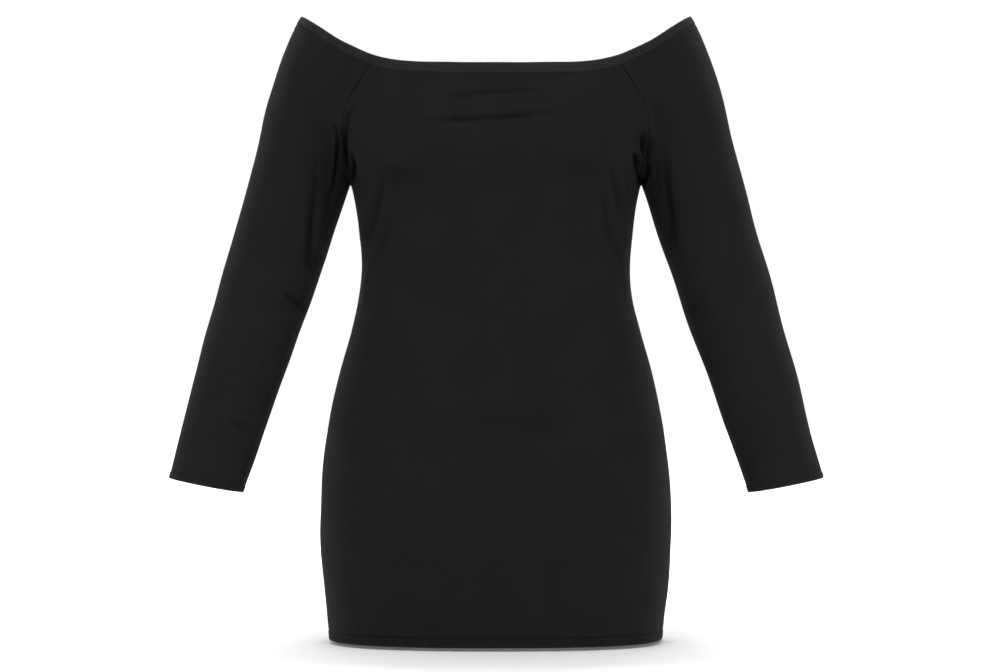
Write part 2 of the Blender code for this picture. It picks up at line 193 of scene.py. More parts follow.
def torso_distance(x, y, z):
    """Distance outside the torso, measured from its middle line."""
    depth = np.where(y < 0, torso.front(z) + bust(x, z), torso.back(z))
    n = torso.squareness(z)
    size = (np.abs(x / torso.half_width(z)) ** n + np.abs(y / depth) ** n) ** (1 / n)
    return np.hypot(x, y) * (1 - 1 / np.maximum(size, TINY))


def arm_middle(z):
    """Middle of the arm's level section."""
    return arm.outer_edge(z) - arm.half_width(z), arm.middle_y(z)


def arm_distance(x, y, z):
    """Distance outside the nearer arm, measured from the arm's own middle."""
    middle_x, middle_y = arm_middle(z)
    across = np.abs(x) - middle_x
    along = y - middle_y
    size = np.hypot(across / arm.half_width(z), along / arm.half_depth(z))
    return np.hypot(across, along) * (1 - 1 / np.maximum(size, TINY))


def garment_distance(x, y, z):
    """Distance outside the cloth: torso and arms, run softly together above the armpit."""
    of_torso = torso_distance(x, y, z)
    of_arm = arm_distance(x, y, z)
    softness = np.maximum(raglan.softness(z), TINY)
    shared = np.clip(softness - np.abs(of_torso - of_arm), 0, None)
    return np.minimum(of_torso, of_arm) - shared**2 / (4 * softness)


# A point is moved onto the form in steps, by the slope measured over a short probe
SETTLE_STEPS = 8
PROBE = 0.0002
LEAST_STEEPNESS = 0.1


def settled(x, y, height, distance):
    """Moves points square to their section's outline until they lie on it, at the height from a rule."""
    for _ in range(SETTLE_STEPS):
        z = height(x, y)
        here = distance(x, y, z)
        slope_x = (distance(x + PROBE, y, z) - here) / PROBE
        slope_y = (distance(x, y + PROBE, z) - here) / PROBE
        steepness = np.maximum(slope_x**2 + slope_y**2, LEAST_STEEPNESS)
        x = x - here * slope_x / steepness
        y = y - here * slope_y / steepness
    return np.stack([x, y, height(x, y)], axis=-1)


def neck_edge(x, face):
    """Height of the neckline's top edge."""
    rise = BACK_NECK_RISE * np.clip(1 - (x / TIP_X) ** 2, 0, None) if face > 0 else 0.0
    return neckline.height(np.abs(x)) + rise


def height_above_armpit(level, x, face):
    """Height at a level: 0 is the armpit, 1 the band's seam and 2 the neckline's top edge."""
    seam = neck_edge(x, face) - BAND_HEIGHT
    low_part = ARMPIT_Z + (seam - ARMPIT_Z) * np.clip(level, 0, 1)
    return low_part + BAND_HEIGHT * np.clip(level - 1, 0, 1)


SEAM_STEPS = 12
HALVINGS = 40
OUT_OF_REACH = 0.2


def raglan_seam(levels, face):
    """Points of the raglan seam on the +X side, in front (face -1) or behind (face 1), one for each level."""
    seam_x = raglan.front_x if face < 0 else raglan.back_x
    z = np.full(levels.shape, ARMPIT_Z)
    for _ in range(SEAM_STEPS):
        x = seam_x(z)
        z = height_above_armpit(levels, x, face)
    inside = np.zeros(levels.shape)
    outside = np.full(levels.shape, OUT_OF_REACH)
    for _ in range(HALVINGS):
        y = (inside + outside) / 2
        in_cloth = garment_distance(x, face * y, z) < 0
        inside = np.where(in_cloth, y, inside)
        outside = np.where(in_cloth, outside, y)
    y = np.where(levels > 0, face * y, 0.0)
    return np.stack([x, y, z], axis=-1)


def run_along(rows, axis):
    """Length from the first point of each row (axis 1) or column (axis 0)."""
    steps = np.linalg.norm(np.diff(rows, axis=axis), axis=-1)
    return np.concatenate([np.zeros_like(steps.take([0], axis)), np.cumsum(steps, axis)], axis=axis)


def laid_out(rows, columns, near, crowding):
    """Each row's points at the near distances from both of its ends, and between them closer to the ends."""
    out = []
    near = np.array(near)
    share = np.linspace(0, 1, columns + 1)[1:-1]
    share = share - crowding * np.sin(2 * np.pi * share) / (2 * np.pi)
    for row, run in zip(rows, run_along(rows, 1)):
        middle = near[-1] + (run[-1] - 2 * near[-1]) * share
        places = np.concatenate([near, middle, run[-1] - near[::-1]])
        out.append(np.stack([np.interp(places, run, row[:, i]) for i in range(3)], axis=1))
    return np.array(out)


def torso_outline(bearing, face, z):
    """The plain torso's outline: bearing is the share of a quarter turn from its front's or back's middle."""
    depth = torso.front(z) if face < 0 else torso.back(z)
    power = 2 / torso.squareness(z)
    turn = bearing * np.pi / 2
    x = torso.half_width(z) * np.sign(turn) * np.abs(np.sin(turn)) ** power
    return x, face * depth * np.abs(np.cos(turn)) ** power


ROW_SAMPLES = 401
END_PULL = 10


def body_rows(face, heights, levels):
    """The front or back in closely set points: rows from the -X side to the +X side, heights first."""
    spread = np.linspace(-1, 1, ROW_SAMPLES)[None, :]
    low_z = np.reshape(heights, (-1, 1)) + 0 * spread
    x, y = torso_outline(spread, face, low_z)
    low = settled(x, y, lambda *_: low_z, torso_distance)

    def rule(x, _):
        return height_above_armpit(levels[:, None], x, face)

    seam_x, seam_y, seam_z = np.moveaxis(raglan_seam(levels, face), -1, 0)[..., None]
    across = np.clip(seam_x / torso.half_width(seam_z), 0, 1)
    end = np.arcsin(across ** (torso.squareness(seam_z) / 2)) * 2 / np.pi
    z = seam_z + 0 * spread
    for _ in range(SETTLE_STEPS):
        x, y = torso_outline(spread * end, face, z)
        z = rule(x, y)
    pull = np.abs(spread) ** END_PULL
    x = x + (seam_x * np.sign(spread) - x) * pull
    y = y + (seam_y - y) * pull
    return np.concatenate([low, settled(x, y, rule, garment_distance)])


# Rows above the armpit: the last ones' distances below the band's seam, and the steps of those under them
NEAR_BAND = (0.0062, 0.0046, 0.0032, 0.0019, 0.0011, 0.0005, 0.0)
UPPER_ROWS = 96
ARMPIT_STEP = 0.00014
UPPER_STEP = 0.00145
UPPER_HEIGHT = 0.1350


def seam_levels():
    """Levels from the armpit to the band's seam, closer at both ends, the same for all that meet there."""
    near = 1 - np.array(NEAR_BAND) / UPPER_HEIGHT
    climb = np.cumsum(np.minimum(ARMPIT_STEP * (2 * np.arange(UPPER_ROWS) + 1), UPPER_STEP))
    return np.concatenate([[0.0], near[0] * climb[:-1] / climb[-1], near])


def square_out(points, distance):
    """Unit vectors square to the form at each point, the same for every piece that meets there."""
    x, y, z = np.moveaxis(points, -1, 0)
    slopes = np.stack([
        distance(x + PROBE, y, z) - distance(x - PROBE, y, z),
        distance(x, y + PROBE, z) - distance(x, y - PROBE, z),
        distance(x, y, z + PROBE) - distance(x, y, z - PROBE),
    ], axis=-1)
    return unit(slopes)


MEETS = 0.00001


def closed_rows(rows):
    """True for each row of points that ends where it starts."""
    return np.linalg.norm(rows[:, 0] - rows[:, -1], axis=-1) < MEETS


def outward(rows, flip):
    """Unit normals of a grid of points, the same on both sides of a row that closes on itself."""
    normals = unit(np.cross(np.gradient(rows, axis=1), np.gradient(rows, axis=0)) * (-1 if flip else 1))
    closed = closed_rows(rows)
    normals[closed, 0] = normals[closed, -1] = unit(normals[closed, 0] + normals[closed, -1])
    return normals


# Creases in millimetres, as the camera sees them from 4 m in front, x to the picture's right and z up. Each
# has its path, half width, depth, the height of the ridge beside it, and the share of the path at which it is
# deepest. The ridge lies to the left of the path, or to the right where its height is negative. A crease with
# a negative depth is a raised fold.
MILLIMETRES_PER_METRE = 1000
FRONT_CREASES = (
    (((-64, -29.5), (-43.2, -29.7), (-9.6, -25.3), (30.7, -24.7), (54, -25.2)), 3.6, 2.6, 0.5, 0.4),
    (((-90, -60), (-50, -58.5), (-18.7, -57.3), (9.6, -55), (38.4, -53.3), (70, -50)), 3.4, 3.6, 0.9, 0.52),
    (((-15, -77), (20, -76), (48, -75)), 5, 1, 0.2, 0.5),
    (((-91.4, -103.5), (-36, -104), (10, -104), (70, -101.5)), 4.2, 1.3, 0.3, 0.5),
    (((-150, -122), (-118, -127), (-80, -126)), 15, 2.6, 0, 0.5),
    (((-70, -124), (5, -128), (80, -124)), 15, 1.2, 0, 0.5),
    (((80, -119), (108, -122), (132, -116)), 13, 2, 0, 0.5),
    (((38, -9), (72, -6), (106, -2)), 4, 1.2, 0, 0.5),
    (((-112, -72), (-90, -69), (-70, -67)), 6, 1, 0.2, 0.5),
    (((166.8, -64), (173, -73.5), (176.8, -83), (178.4, -90.5), (179, -100), (178.6, -108), (177.6, -117),
      (176, -126.5), (173.8, -138)), 2.7, 5, 0.6, 0.6),
    (((164, -66), (169, -82), (172.5, -102)), 6.2, 2, 0, 0.55),
    (((185, -71.1), (185.2, -85.9), (184.5, -97), (183.3, -107.3), (182.2, -118), (180.8, -126.5),
      (175, -140)), 2.4, 5.2, 0.4, 0.58),
    (((166.5, -97), (169.8, -104.9), (171.2, -112.1), (171.8, -119.3), (173, -124), (174.4, -129),
      (174.5, -137)), 3.8, 6.4, 1.2, 0.44),
    (((175, -116), (175.2, -125), (175, -137.5)), 4.6, 5.6, 0, 0.6),
    (((178.8, -68), (179.4, -86), (178.8, -102)), 4.6, 4.8, 0, 0.58),
    (((160, -90), (169, -96.5), (174.5, -104.9), (175.4, -112.1), (175.2, -118)), 2.6, -2.2, 0, 0.5),
    (((122, -124), (127.4, -146.5), (130.6, -167.8), (133.8, -184.9), (139.2, -204.1), (145.6, -218),
      (156, -242)), 4.2, 2.7, 1, 0.48),
    (((137.5, -113), (140.2, -127.3), (142.5, -138), (145.6, -148.6), (146.8, -158), (147.4, -178)), 4.6, 3.1,
      1, 0.48),
    (((156, -113), (157.5, -130), (160.5, -154)), 4, 1.8, 0.4, 0.5),
    (((144, -199), (150.8, -221.3), (155, -245.3), (158.4, -265.7), (160.4, -280)), 3.6, -2.1, 0, 0.45),
    (((153, -178), (155.8, -197.3), (157, -214)), 3.4, -1.8, 0, 0.5),
    (((188, -33), (196.5, -54), (201, -85)), 10, 1.9, 0, 0.45),
    (((200.5, -90), (202.2, -115), (205, -140), (208.5, -165), (211.2, -190), (212.8, -216)), 5.2, 4.2, 0.8,
      0.62),
    (((193.5, -100), (194, -126), (196.2, -162)), 2.8, 1.5, 0.4, 0.5),
    (((253, -269), (246.5, -274.5), (241.5, -282), (237.5, -294)), 5.4, 1.8, 0.7, 0.5),
    (((221.6, -240), (244.2, -311.3), (276.6, -408), (312, -500)), 8.5, -2.2, 0, 0.5),
    (((262, -288), (252, -296), (241, -300)), 6, 1.4, 0.4, 0.5),
    (((281, -160), (282, -220), (278, -282)), 9, 1.2, 0, 0.5),
    (((318, -402), (303, -416), (292, -424)), 7, 1.2, 0.4, 0.5),
    (((-75, -414), (10, -424), (110, -418)), 23, 1.7, 0, 0.5),
    (((-166, -44), (-174, -49.7), (-179.8, -64.1), (-182.2, -78.5), (-182.9, -88.1), (-182.4, -97.7),
      (-182.2, -107.3), (-180, -116.9), (-177.6, -125.3), (-174.5, -138)), 3.6, 4.6, -0.6, 0.52),
    (((-182.2, -76), (-182.8, -88.1), (-182.2, -100), (-180, -116.9), (-175.6, -133)), 3, 5.4, 0, 0.38),
    (((-193.7, -64), (-191.2, -75.3), (-190.3, -85.9), (-190.5, -103), (-191.2, -118), (-193.8, -135),
      (-197.5, -156)), 2.6, 5.2, -0.5, 0.45),
    (((-196.8, -140), (-200.5, -165), (-204, -185), (-207, -208)), 4, 2.4, 0, 0.4),
    (((-174.5, -95), (-173.8, -106), (-172.2, -115), (-172.2, -123), (-173.5, -133)), 3.3, 6.6, 0.8, 0.62),
    (((-211.8, -81.7), (-215, -111.6), (-217.2, -139.3), (-219.4, -164.9), (-221.4, -192.6), (-222.8, -216.1),
      (-224, -240)), 4.4, 4.2, 0.8, 0.66),
    (((-201, -60), (-202, -86), (-203.5, -120), (-206, -156)), 8.8, 1.5, 0, 0.42),
    (((-133, -123), (-136.8, -138), (-139.2, -148.6), (-142.4, -163.6), (-146.6, -178.5), (-149.2, -187),
      (-153.5, -208)), 4.6, 3.4, -1, 0.5),
    (((-126, -168), (-129.6, -189), (-136.5, -212), (-146, -236)), 5.4, 2, 0, 0.42),
    (((-153, -118), (-155, -138), (-157.2, -159)), 3.4, 1.8, 0.4, 0.5),
    (((-139.2, -197.3), (-145.8, -221.3), (-154, -245.3), (-157.8, -269.3), (-159, -287.3)), 3.6, -2, 0, 0.5),
    (((-152, -166), (-156.6, -183.9), (-160, -206)), 2.4, -1.2, 0, 0.55),
    (((-254, -267.5), (-248, -271.5), (-242.5, -275.5), (-237.5, -281.5), (-230, -288)), 4.6, 3.2, -1, 0.42),
    (((-219.6, -240), (-245.6, -311.3), (-279, -408), (-312, -500)), 8.5, -2.2, 0, 0.5),
    (((-262, -274), (-252, -286), (-243, -293)), 5, 1.6, 0.4, 0.5),
    (((-321, -419.5), (-306, -426), (-291.5, -434.5)), 5, 2.6, 0.5, 0.5),
    (((-318, -398), (-302, -408), (-286, -420)), 7, 1.2, 0, 0.5),
)
# Painted shade only, where the cloth is squeezed together in an armpit and no light comes in: given as
# creases are, but only their painted shade is used
FRONT_PITS = (
    (((-174.2, -111), (-174, -122), (-174.5, -139)), 5.4, 6.4, 0, 0.6),
    (((174.8, -121), (174.8, -129), (174.6, -139)), 4.6, 5, 0, 0.6),
)
BACK_CREASES = (
    (((-160, -40), (-170, -66), (-176, -92), (-172, -132)), 4.2, 5.8, 1, 0.6),
    (((156, -36), (168, -60), (175, -90), (173, -132)), 4.2, 6, -1, 0.6),
    (((-190, -66), (-189, -96), (-186, -130)), 3.8, 4.2, -1, 0.5),
    (((188, -60), (189, -94), (185, -130)), 3.8, 4.4, 1, 0.5),
    (((-126, -132), (-134, -164), (-144, -198), (-150, -236)), 5.2, 3.6, 1.2, 0.45),
    (((122, -128), (134, -160), (144, -196), (153, -240)), 5.2, 3.8, 1.2, 0.5),
    (((140, -128), (148, -150), (154, -178)), 4.4, 2.4, 0.8, 0.5),
    (((-114, -226), (-66, -236), (-20, -240), (74, -232)), 7, 4.6, 1.6, 0.45),
    (((-52, -262), (0, -270), (40, -272), (120, -258)), 7.5, 3.8, 1.4, 0.55),
    (((-138, -256), (-104, -268), (-70, -272)), 7, 2.2, 0.8, 0.4),
    (((-30, -206), (24, -212), (82, -204)), 7, 2.2, 0.8, 0.55),
    (((48, -296), (92, -292), (136, -280)), 8, 1.8, 0.6, 0.6),
    (((-64, -34), (0, -38), (62, -34)), 6, 1.4, 0.4, 0.5),
    (((-208, -48), (-214, -100), (-217, -140), (-223, -232)), 6.4, 4.2, 1.2, 0.5),
    (((204, -46), (211, -96), (214, -132), (221, -226)), 6.4, 4.4, 1.2, 0.55),
    (((-306, -262), (-290, -274), (-276, -281), (-248, -287)), 6, 3.8, 1.4, 0.5),
    (((-300, -292), (-282, -300), (-262, -302)), 6, 2.4, 0.8, 0.5),
    (((308, -258), (294, -270), (280, -277), (250, -289)), 6, 4, 1.4, 0.5),
    (((312, -286), (296, -298), (274, -306)), 6, 2.4, 0.8, 0.5),
    (((330, -404), (314, -418), (300, -424)), 7, 1.6, 0.4, 0.5),
    (((-334, -398), (-316, -408), (-298, -418)), 7, 1.6, 0.4, 0.5),
)

VIEW_DISTANCE = 4.0
VIEW_X = 0.0098
VIEW_Z = -0.3185
CREASE_SAMPLES = 41
CREASE_REACH = 6
RIDGE_PLACE = 2.0
RIDGE_SPREAD = 1.35
CREASE_TAPER = 0.5
CROSSING = 3
FACING_FROM = 0.0
FACING_FULL = 0.18
SHADE_FROM = -0.10
SHADE_FULL = 0.02


def creased(points, square, creases, face):
    """How far each point stands out or in for the creases seen from one side, and how much painted shade it
    gets.
    """
    nearness = VIEW_DISTANCE / (VIEW_DISTANCE - face * points[..., 1])
    seen_x = VIEW_X + (points[..., 0] - VIEW_X) * nearness
    seen_z = VIEW_Z + (points[..., 2] - VIEW_Z) * nearness
    facing = ease(FACING_FROM, FACING_FULL, face * square[..., 1])
    shaded = ease(SHADE_FROM, SHADE_FULL, face * square[..., 1])
    stands, sunk, dark = np.zeros((3, *points.shape[:-1]))
    for path, *sizes, peak in creases:
        marks = np.array(path) / MILLIMETRES_PER_METRE
        half_width, depth, ridge_height = np.array(sizes) / MILLIMETRES_PER_METRE
        knots = np.concatenate([[0.0], np.cumsum(np.linalg.norm(np.diff(marks, axis=0), axis=1))])
        share = np.linspace(0, 1, CREASE_SAMPLES)
        line = np.stack([smooth_curve(knots, marks[:, i])(share * knots[-1]) for i in range(2)], axis=1)
        ahead = unit(np.gradient(line, axis=0))
        reach = half_width * CREASE_REACH
        low, high = line.min(axis=0) - reach, line.max(axis=0) + reach
        near = (shaded > 0) & (seen_x > low[0]) & (seen_x < high[0]) & (seen_z > low[1]) & (seen_z < high[1])
        away = np.stack([seen_x[near], seen_z[near]], axis=-1)[:, None, :] - line
        gaps = np.linalg.norm(away, axis=-1)
        nearest = gaps.argmin(axis=-1)
        here = np.arange(len(nearest))
        gap, offset = gaps[here, nearest], away[here, nearest]
        side = np.sign(ahead[nearest, 0] * offset[:, 1] - ahead[nearest, 1] * offset[:, 0])
        along = share[nearest] ** (np.log(0.5) / np.log(peak))
        taper = np.sin(np.pi * along) ** CREASE_TAPER
        fold = depth * falloff(gap, half_width) * taper
        ridge_gap = gap * (side * np.sign(ridge_height)) / half_width - RIDGE_PLACE
        ridge = abs(ridge_height) * falloff(ridge_gap, RIDGE_SPREAD)
        stands[near] += (ridge * taper + np.clip(-fold, 0, None)) * facing[near]
        sunk[near] += (np.clip(fold, 0, None) * facing[near]) ** CROSSING
        dark[near] += (np.clip(fold, 0, None) * shaded[near]) ** CROSSING
    return stands - sunk ** (1 / CROSSING), dark ** (1 / CROSSING)


# Slow unevenness of the cloth, in waves of different directions
WAVE_COLUMNS = ("direction", "length", "height", "phase")
WAVES = (
    ((0.8, 0.3, 0.5), 0.150, 0.00040, 0.3),
    ((-0.5, 0.4, 0.8), 0.118, 0.00034, 1.9),
    ((0.3, -0.8, 0.9), 0.089, 0.00026, 4.1),
    ((0.9, 0.6, -0.4), 0.067, 0.00018, 2.6),
    ((-0.7, 0.2, -0.6), 0.051, 0.00013, 5.2),
)


def uneven(points):
    """The slow waves of cloth that nothing holds quite flat."""
    stands = np.zeros(points.shape[:-1])
    for wave in named(WAVE_COLUMNS, WAVES):
        turn = points @ np.array(wave.direction) * 2 * np.pi / wave.length
        stands += wave.height * np.sin(turn + wave.phase)
    return stands


# Painted shade in the creases: the depth at which it is darkest, and how fast it grows towards that
DARKEST_DEPTH = 0.0048
DARKENING = 1.8


def relief(points, square):
    """All creases and waves at once, so that pieces move together at a seam, and the painted shade, 1 deep in
    a crease.
    """
    front, front_dark = creased(points, square, FRONT_CREASES, -1)
    back, back_dark = creased(points, square, BACK_CREASES, 1)
    _, pit_dark = creased(points, square, FRONT_PITS, -1)
    deepest = np.maximum(np.maximum(front_dark, back_dark), pit_dark)
    painted_shade = np.clip(deepest / DARKEST_DEPTH, 0, 1) ** DARKENING
    return front + back + uneven(points), painted_shade


SEAM_GROOVE = 0.0008
SEAM_GROOVE_WIDTH = 0.0009
BAND_SEAM_GROOVE = 0.0003


def groove(from_seam):
    """Share of the groove's depth at a distance from a seam."""
    return falloff(from_seam, SEAM_GROOVE_WIDTH)


ALLOWANCE = 0.0066
ALLOWANCE_RAISED = 0.0004
ALLOWANCE_INSIDE = 0.0012
ALLOWANCE_EDGE = 0.0007


def over_allowance(from_seam):
    """1 over the seam allowance pressed to this side of a seam, 0 beyond its edge."""
    return 1 - ease(ALLOWANCE - ALLOWANCE_EDGE, ALLOWANCE + ALLOWANCE_EDGE, from_seam)


HEM_TURN = 0.0110
HEM_DIP = 0.0007
TWIN_NEEDLE = 0.0026
STITCH_DIP_WIDTH = 0.0008
SECOND_DIP = 0.35
TURN_PROUD = 0.0006
TURN_SHOULDER = 0.86


def stitch_dips(from_edge, turn):
    """1 under the upper of the two rows of stitches that hold a turned-up edge, and less under the lower."""
    first, second = (falloff(from_edge - at, STITCH_DIP_WIDTH) for at in (turn, turn - TWIN_NEEDLE))
    return np.maximum(first, SECOND_DIP * second)


def turned_edge(from_edge, turn, dip):
    """Height of a turned-up edge over the cloth: proud up to its stitches, with a dip under each row."""
    proud = TURN_PROUD * (1 - ease(TURN_SHOULDER * turn, turn, from_edge))
    return proud - dip * stitch_dips(from_edge, turn)


def in_scene(name, data):
    """A new object, linked into the scene."""
    item = bpy.data.objects.new(name, data)
    bpy.context.scene.collection.objects.link(item)
    return item


RIM_REACH = 0.0016
FOLD_TURNS = (135, 90, 45)
SHARP_ANGLE = 72


def cloth(name, rows, square, from_seams, walls, flip, turned, masks):
    """A piece of cloth with a wall: its outer face, the fold along its first row, its inner face and rims."""
    count, across = rows.shape[:2]
    normals = outward(rows, flip)
    normals = unit(normals + (square - normals) * falloff(from_seams, RIM_REACH)[..., None])
    inner = rows - normals * walls[..., None]
    up = rows[1] - rows[0]
    down = unit((up * normals[0]).sum(-1, keepdims=True) * normals[0] - up)
    half = walls[0][:, None] / 2
    turns = np.radians(FOLD_TURNS)
    fold = [rows[0] + half * (normals[0] * (np.cos(turn) - 1) + down * np.sin(turn)) for turn in turns]
    section = np.concatenate([rows, inner[::-1], np.array(fold)])
    around = len(section)
    spot = np.arange(around * across).reshape(around, across)
    following = np.roll(spot, -1, axis=0)
    corners = [spot[:, :-1], spot[:, 1:], following[:, 1:], following[:, :-1]]
    faces = [list(face) for face in np.stack(corners, axis=-1).reshape(-1, 4)]
    reverse = np.zeros((around, across - 1), int)
    reverse[count:2 * count - 1 - turned] = 1
    kinds = list(reverse.reshape(-1))
    closed = closed_rows(rows)
    for column, step in ((0, 1), (across - 1, -1)):
        for i in range(count - 1):
            if not (closed[i] and closed[i + 1]):
                far = 2 * count - 1 - i
                rim = [spot[i, column], spot[i + 1, column], spot[far - 1, column], spot[far, column]]
                faces.append(rim[::step])
        if not closed[0]:
            end = [spot[0, column], *spot[2 * count - 1:, column]]
            faces.append(end[::step])
    if flip:
        faces = [face[::-1] for face in faces]
    kinds += [0] * (len(faces) - len(kinds))

    mesh = bpy.data.meshes.new(name)
    mesh.from_pydata(section.reshape(-1, 3).tolist(), [], [[int(i) for i in face] for face in faces])
    mesh.polygons.foreach_set("material_index", kinds)
    run = run_along(rows, 1)
    rise = run_along(rows, 0).mean(axis=1)
    laid = np.stack([run - run[:, -1:] / 2, rise[:, None] + 0 * run], axis=-1)
    laid = np.concatenate([laid, laid[::-1], *[laid[:1]] * len(fold)]).reshape(-1, 2)
    corners = np.empty(len(mesh.loops), int)
    mesh.loops.foreach_get("vertex_index", corners)
    mesh.uv_layers.new(name="cloth").data.foreach_set("uv", laid[corners].reshape(-1))
    for label, mask in masks.items():
        spread = np.concatenate([mask, mask[::-1], *[mask[:1]] * len(fold)]).reshape(-1)
        mesh.attributes.new(label, "FLOAT", "POINT").data.foreach_set("value", spread)

    bm = bmesh.new()
    bm.from_mesh(mesh)
    bmesh.ops.remove_doubles(bm, verts=bm.verts, dist=MEETS)
    bm.to_mesh(mesh)
    bm.free()
    mesh.shade_smooth()
    mesh.set_sharp_from_angle(angle=np.radians(SHARP_ANGLE))
    return in_scene(name, mesh), inner


# The jersey: fine V-shaped knit stitches on the face, their purl side within, and yarn that isn't quite even.
# It also carries painted shade, darker in creases, seam grooves and stitch dips, and a lighter colour for
# wear along folds and seams and for painted light on the lower sleeves. Each change of tone is given as what
# its mask adds, and what the tone is without it.
JERSEY_COLOUR = (0.0114, 0.0114, 0.0132, 1.0)
JERSEY_WORN_AND_PAINTED_LIGHT = (0.0200, 0.0200, 0.0216, 1.0)
JERSEY_SHEEN = (0.80, 0.80, 0.83, 1.0)
JERSEY_CLOUDS = 22.0
JERSEY_FIBRES = 900.0
JERSEY_ROUGHNESS = (0.16, 0.66)
WALE = 0.00085
COURSE = 0.00062
KNIT_DEPTH = 0.00016
KNIT_STRENGTH = 0.8
FIBRE_DEPTH = 0.35
FACE_SLANT = 0.9
PURL_LIGHTNESS = 1.25
PURL_DEPTH = KNIT_DEPTH * 1.3
STITCH_ROUND = 0.6
STITCH_MIDDLE = (0.7, 0.3)
YARN_TONE = (0.5, 0.75)
GAP_TONE = (-0.45, 1.15)
PAINTED_SHADE_TONE = (-0.94, 1.0)


def set_inputs(tree, node, values):
    """Sets a node's inputs: each value is a plain one or another node's output."""
    for label, value in values.items():
        if isinstance(value, bpy.types.NodeSocket):
            tree.links.new(value, node.inputs[label])
        else:
            node.inputs[label].default_value = value


def add_node(tree, kind, values=None, **settings):
    """A node with its settings and inputs."""
    node = tree.nodes.new(kind)
    for name, setting in settings.items():
        setattr(node, name, setting)
    set_inputs(tree, node, values or {})
    return node


def maths(tree, operation, *values):
    """One Math node's result."""
    return add_node(tree, "ShaderNodeMath", dict(enumerate(values)), operation=operation).outputs[0]


def new_group(name, kind, inputs, outputs):
    """An empty node group with named sockets: its tree, its two ends and each input's identifier."""
    tree = bpy.data.node_groups.new(name, kind)
    sockets = {}
    for end, labels in (("INPUT", inputs), ("OUTPUT", outputs)):
        for label, what in labels.items():
            socket = tree.interface.new_socket(label, in_out=end, socket_type="NodeSocket" + what)
            sockets[label] = socket.identifier
    return tree, add_node(tree, "NodeGroupInput").outputs, add_node(tree, "NodeGroupOutput"), sockets


def knit_group():
    """Knit stitches from a place on the cloth: their height, and 1 in the gaps between them."""
    tree, given, result, _ = new_group(
        "knit stitches", "ShaderNodeTree",
        {"Place": "Vector", "Wale": "Float", "Course": "Float", "Slant": "Float"},
        {"Height": "Float", "Gap": "Float"},
    )
    split = add_node(tree, "ShaderNodeSeparateXYZ", {0: given["Place"]}).outputs
    wale = maths(tree, "DIVIDE", split["X"], given["Wale"])
    course = maths(tree, "DIVIDE", split["Y"], given["Course"])
    centred = maths(tree, "SUBTRACT", maths(tree, "FRACT", wale), 0.5)
    from_middle = maths(tree, "MULTIPLY", maths(tree, "ABSOLUTE", centred), 2.0)
    slanted = maths(tree, "MULTIPLY_ADD", from_middle, given["Slant"], course)
    along = maths(tree, "SINE", maths(tree, "MULTIPLY", maths(tree, "FRACT", slanted), np.pi))
    across = maths(tree, "SINE", maths(tree, "MULTIPLY", from_middle, np.pi))
    thickness = maths(tree, "MULTIPLY_ADD", across, *STITCH_MIDDLE)
    height = maths(tree, "MULTIPLY", maths(tree, "POWER", along, STITCH_ROUND), thickness)
    set_inputs(tree, result, {"Height": height, "Gap": maths(tree, "SUBTRACT", 1.0, height)})
    return tree


def yarn_group():
    """Slow changes of tone and a fine fibre noise over the object."""
    tree, given, result, _ = new_group(
        "uneven yarn", "ShaderNodeTree",
        {"Place": "Vector", "Cloud Scale": "Float", "Fibre Scale": "Float"},
        {"Tone": "Float", "Fibre": "Float"},
    )
    for scale, label, detail in (("Cloud Scale", "Tone", 3.0), ("Fibre Scale", "Fibre", 2.0)):
        values = {"Vector": given["Place"], "Scale": given[scale], "Detail": detail}
        set_inputs(tree, result, {label: add_node(tree, "ShaderNodeTexNoise", values).outputs[0]})
    return tree


knit = knit_group()
yarn = yarn_group()


def new_material(name):
    """An empty material, its tree and its shader."""
    material = bpy.data.materials.new(name)
    material.use_nodes = True
    return material, material.node_tree, material.node_tree.nodes["Principled BSDF"]


def yarn_on(tree, clouds, fibres):
    """The uneven yarn in a material, on the piece's own coordinates."""
    place = add_node(tree, "ShaderNodeTexCoord").outputs["Object"]
    values = {"Place": place, "Cloud Scale": clouds, "Fibre Scale": fibres}
    return add_node(tree, "ShaderNodeGroup", values, node_tree=yarn).outputs


def mixed(tree, first, second, share, **settings):
    """Two colours mixed, or with blend_type=MULTIPLY one darkened by the other."""
    values = {"A": first, "B": second, "Factor": share}
    return add_node(tree, "ShaderNodeMix", values, data_type="RGBA", **settings).outputs["Result"]


